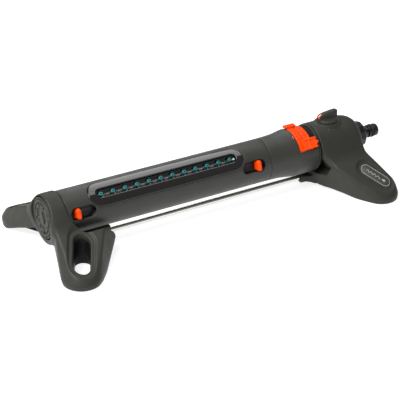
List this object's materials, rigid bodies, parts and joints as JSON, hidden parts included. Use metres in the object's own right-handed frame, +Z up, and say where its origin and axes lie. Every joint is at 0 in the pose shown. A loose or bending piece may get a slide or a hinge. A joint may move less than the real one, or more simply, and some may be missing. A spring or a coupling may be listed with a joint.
{
  "type": "oscillating garden sprinkler",
  "caption": "Oscillating lawn sprinkler: a spray tube with a row of tilting rubber nozzles swings between two splayed feet, with range stops, width sliders, a flow knob and a hose nipple.",
  "frame": {"origin": "on the ground, under the middle of the sprinkler's bounding box", "axes": "+X along the spray tube towards the hose inlet, +Z up, and -Y the side the nozzles lean towards at rest"},
  "size_m": [0.4772, 0.2067, 0.09],
  "materials": {
    "body": "moulded grey, fine satin grain",
    "shell": "moulded grey, smooth satin",
    "gloss": "polished black",
    "black": "moulded black, satin",
    "orange": "bright orange, satin",
    "teal": "soft teal rubber",
    "bar_metal": "bright drawn tube",
    "steel": "plated steel",
    "rubber": "black seal",
    "white": "natural white acetal",
    "badge": "grey printed label plate"
  },
  "bodies": {
    "base": {"left_foot": "body", "right_foot": "body", "left_end_cap": "body", "badge_front": "badge", "badge_rear": "badge", "left_bearing_bush": "white", "cross_bar": "bar_metal", "bar_screw_left": "steel", "bar_screw_right": "steel", "union_nut": "black", "hose_nipple": "black", "nipple_oring": "rubber", "inlet_filter": "white", "inlet_washer": "rubber", "groove_collar": "black", "rim_ring": "body", "gearbox_case": "black", "bearing_ring": "white", "gear_pin_a": "steel", "gear_pin_b": "steel", "turbine_stator": "white", "output_seal": "rubber", "valve_sleeve": "black"},
    "spray_tube": {"tube_shell": "shell", "tube_adapter": "shell", "nozzle_bezel": "gloss", "nozzle_cradle": "gloss", "nozzle_manifold": "black", "manifold_oring": "rubber", "end_journal": "black", "drive_disc": "black", "output_shaft": "white", "slider_pocket_left": "black", "slider_pocket_right": "black"},
    "idler_b": {"idler_gear_b": "white"},
    "idler_a": {"idler_gear_a": "white"},
    "turbine": {"turbine_wheel": "orange"},
    "gate": {"reversing_gate": "black"},
    "knob": {"flow_knob": "body", "knob_pointer": "orange", "valve_spool": "white", "spool_oring": "rubber"},
    "slider_left": {"width_slider_left": "orange"},
    "slider_right": {"width_slider_right": "orange"},
    "stop_a": {"range_stop_a": "orange"},
    "stop_b": {"range_stop_b": "orange"},
    "nozzle_body_01": {"nozzle_01": "teal"},
    "nozzle_body_02": {"nozzle_02": "teal"},
    "nozzle_body_03": {"nozzle_03": "teal"},
    "nozzle_body_04": {"nozzle_04": "teal"},
    "nozzle_body_05": {"nozzle_05": "teal"},
    "nozzle_body_06": {"nozzle_06": "teal"},
    "nozzle_body_07": {"nozzle_07": "teal"},
    "nozzle_body_08": {"nozzle_08": "teal"},
    "nozzle_body_09": {"nozzle_09": "teal"},
    "nozzle_body_10": {"nozzle_10": "teal"},
    "nozzle_body_11": {"nozzle_11": "teal"},
    "nozzle_body_12": {"nozzle_12": "teal"}
  },
  "joints": [
    {"name": "tube_swing", "type": "hinge", "parent": "base", "child": "spray_tube", "pos_m": [0, 0, 0.047], "axis": [1, 0, 0], "range_deg": [-85, 15]},
    {"name": "idler_b_turn", "type": "hinge", "parent": "base", "child": "idler_b", "pos_m": [0.097, 0.01013, 0.04115], "axis": [1, 0, 0], "range_deg": [-40, 222]},
    {"name": "idler_a_turn", "type": "hinge", "parent": "base", "child": "idler_a", "pos_m": [0.105, 0, 0.0353], "axis": [1, 0, 0], "range_deg": [-576.6, 103.4]},
    {"name": "turbine_turn", "type": "hinge", "parent": "base", "child": "turbine", "pos_m": [0.113, 0, 0.047], "axis": [1, 0, 0], "range_deg": [-267.64, 1497.96]},
    {"name": "gate_flip", "type": "hinge", "parent": "base", "child": "gate", "pos_m": [0.125, 0, 0.047], "axis": [1, 0, 0], "range_deg": [-12, 12]},
    {"name": "flow_turn", "type": "hinge", "parent": "base", "child": "knob", "pos_m": [0.162, 0, 0.083], "axis": [0, 0, 1], "range_deg": [0, 90]},
    {"name": "slide_left", "type": "slide", "parent": "spray_tube", "child": "slider_left", "axis": [1, 0, 0], "range_m": [0, 0.017]},
    {"name": "slide_right", "type": "slide", "parent": "spray_tube", "child": "slider_right", "axis": [-1, 0, 0], "range_m": [0, 0.017]},
    {"name": "stop_a_turn", "type": "hinge", "parent": "spray_tube", "child": "stop_a", "pos_m": [0.111, 0, 0.047], "axis": [1, 0, 0], "range_deg": [-55, 20]},
    {"name": "stop_b_turn", "type": "hinge", "parent": "spray_tube", "child": "stop_b", "pos_m": [0.12, 0, 0.047], "axis": [1, 0, 0], "range_deg": [-15, 0]},
    {"name": "nozzle_01_tilt", "type": "hinge", "parent": "spray_tube", "child": "nozzle_body_01", "pos_m": [-0.1546, -0.00757, 0.05781], "axis": [0, 0.8192, 0.5736], "range_deg": [-0.3, 10.3]},
    {"name": "nozzle_02_tilt", "type": "hinge", "parent": "spray_tube", "child": "nozzle_body_02", "pos_m": [-0.1394, -0.00757, 0.05781], "axis": [0, 0.8192, 0.5736], "range_deg": [-0.3, 8.48]},
    {"name": "nozzle_03_tilt", "type": "hinge", "parent": "spray_tube", "child": "nozzle_body_03", "pos_m": [-0.1242, -0.00757, 0.05781], "axis": [0, 0.8192, 0.5736], "range_deg": [-0.3, 6.66]},
    {"name": "nozzle_04_tilt", "type": "hinge", "parent": "spray_tube", "child": "nozzle_body_04", "pos_m": [-0.109, -0.00757, 0.05781], "axis": [0, 0.8192, 0.5736], "range_deg": [-0.3, 4.84]},
    {"name": "nozzle_05_tilt", "type": "hinge", "parent": "spray_tube", "child": "nozzle_body_05", "pos_m": [-0.0938, -0.00757, 0.05781], "axis": [0, 0.8192, 0.5736], "range_deg": [-0.3, 3.03]},
    {"name": "nozzle_06_tilt", "type": "hinge", "parent": "spray_tube", "child": "nozzle_body_06", "pos_m": [-0.0786, -0.00757, 0.05781], "axis": [0, 0.8192, 0.5736], "range_deg": [-0.3, 1.21]},
    {"name": "nozzle_07_tilt", "type": "hinge", "parent": "spray_tube", "child": "nozzle_body_07", "pos_m": [-0.0634, -0.00757, 0.05781], "axis": [0, 0.8192, 0.5736], "range_deg": [-1.21, 0.3]},
    {"name": "nozzle_08_tilt", "type": "hinge", "parent": "spray_tube", "child": "nozzle_body_08", "pos_m": [-0.0482, -0.00757, 0.05781], "axis": [0, 0.8192, 0.5736], "range_deg": [-3.03, 0.3]},
    {"name": "nozzle_09_tilt", "type": "hinge", "parent": "spray_tube", "child": "nozzle_body_09", "pos_m": [-0.033, -0.00757, 0.05781], "axis": [0, 0.8192, 0.5736], "range_deg": [-4.84, 0.3]},
    {"name": "nozzle_10_tilt", "type": "hinge", "parent": "spray_tube", "child": "nozzle_body_10", "pos_m": [-0.0178, -0.00757, 0.05781], "axis": [0, 0.8192, 0.5736], "range_deg": [-6.66, 0.3]},
    {"name": "nozzle_11_tilt", "type": "hinge", "parent": "spray_tube", "child": "nozzle_body_11", "pos_m": [-0.0026, -0.00757, 0.05781], "axis": [0, 0.8192, 0.5736], "range_deg": [-8.48, 0.3]},
    {"name": "nozzle_12_tilt", "type": "hinge", "parent": "spray_tube", "child": "nozzle_body_12", "pos_m": [0.0126, -0.00757, 0.05781], "axis": [0, 0.8192, 0.5736], "range_deg": [-10.3, 0.3]}
  ],
  "couplings": [
    {"joint": "idler_b_turn", "follows": "tube_swing", "ratio": -2.6},
    {"joint": "idler_a_turn", "follows": "tube_swing", "ratio": 6.76},
    {"joint": "turbine_turn", "follows": "tube_swing", "ratio": -17.576},
    {"joint": "nozzle_01_tilt", "follows": "slide_left", "rad_per_m": 10.267},
    {"joint": "nozzle_02_tilt", "follows": "slide_left", "rad_per_m": 8.4},
    {"joint": "nozzle_03_tilt", "follows": "slide_left", "rad_per_m": 6.5333},
    {"joint": "nozzle_04_tilt", "follows": "slide_left", "rad_per_m": 4.6667},
    {"joint": "nozzle_05_tilt", "follows": "slide_left", "rad_per_m": 2.8},
    {"joint": "nozzle_06_tilt", "follows": "slide_left", "rad_per_m": 0.93333},
    {"joint": "nozzle_07_tilt", "follows": "slide_right", "rad_per_m": -0.93333},
    {"joint": "nozzle_08_tilt", "follows": "slide_right", "rad_per_m": -2.8},
    {"joint": "nozzle_09_tilt", "follows": "slide_right", "rad_per_m": -4.6667},
    {"joint": "nozzle_10_tilt", "follows": "slide_right", "rad_per_m": -6.5333},
    {"joint": "nozzle_11_tilt", "follows": "slide_right", "rad_per_m": -8.4},
    {"joint": "nozzle_12_tilt", "follows": "slide_right", "rad_per_m": -10.267}
  ]
}
